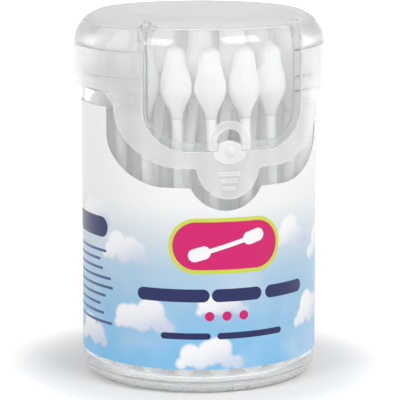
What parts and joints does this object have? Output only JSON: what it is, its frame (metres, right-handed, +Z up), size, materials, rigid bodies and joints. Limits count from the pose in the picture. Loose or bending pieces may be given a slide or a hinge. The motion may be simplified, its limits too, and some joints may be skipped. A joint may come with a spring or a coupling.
{
  "type": "cotton swab tub",
  "caption": "Round clear plastic tub with a wrapped printed label, a frosted lift-off lid with a hinged front door, and cotton swabs standing inside.",
  "frame": {"origin": "centre of the tub on the surface that its foot ring rests on", "axes": "+Z up along the tub; the door and the label window face -Y"},
  "size_m": [0.0588, 0.0598, 0.0859],
  "materials": {
    "tub_plastic": "clear injection-moulded polystyrene, gloss",
    "lid_plastic": "frosted translucent polypropylene, satin",
    "door_plastic": "nearly clear polypropylene, smooth",
    "label_film": "printed plastic film, smooth, sky blue to white",
    "cotton": "white cotton wound on a white paper stick"
  },
  "bodies": {
    "tub": {"tub": "tub_plastic", "label": "label_film", "swab_01": "cotton", "swab_02": "cotton", "swab_03": "cotton", "swab_04": "cotton", "swab_05": "cotton", "swab_06": "cotton", "swab_07": "cotton", "swab_08": "cotton", "swab_09": "cotton", "swab_10": "cotton", "swab_11": "cotton", "swab_12": "cotton", "swab_13": "cotton", "swab_14": "cotton", "swab_15": "cotton", "swab_16": "cotton", "swab_17": "cotton", "swab_18": "cotton", "swab_19": "cotton", "swab_20": "cotton", "swab_21": "cotton", "swab_22": "cotton", "swab_23": "cotton", "swab_24": "cotton", "swab_25": "cotton", "swab_26": "cotton", "swab_27": "cotton", "swab_28": "cotton", "swab_29": "cotton", "swab_30": "cotton", "swab_31": "cotton", "swab_32": "cotton", "swab_33": "cotton", "swab_34": "cotton", "swab_35": "cotton", "swab_36": "cotton", "swab_37": "cotton", "swab_38": "cotton"},
    "lid": {"lid": "lid_plastic"},
    "door": {"door": "door_plastic"}
  },
  "joints": [
    {"name": "lid_lift", "type": "slide", "parent": "tub", "child": "lid", "axis": [0, 0, 1], "range_m": [0, 0.042]},
    {"name": "door_hinge", "type": "hinge", "parent": "lid", "child": "door", "pos_m": [0, -0.0209, 0.0837], "axis": [-1, 0, 0], "range_deg": [0, 100]}
  ]
}
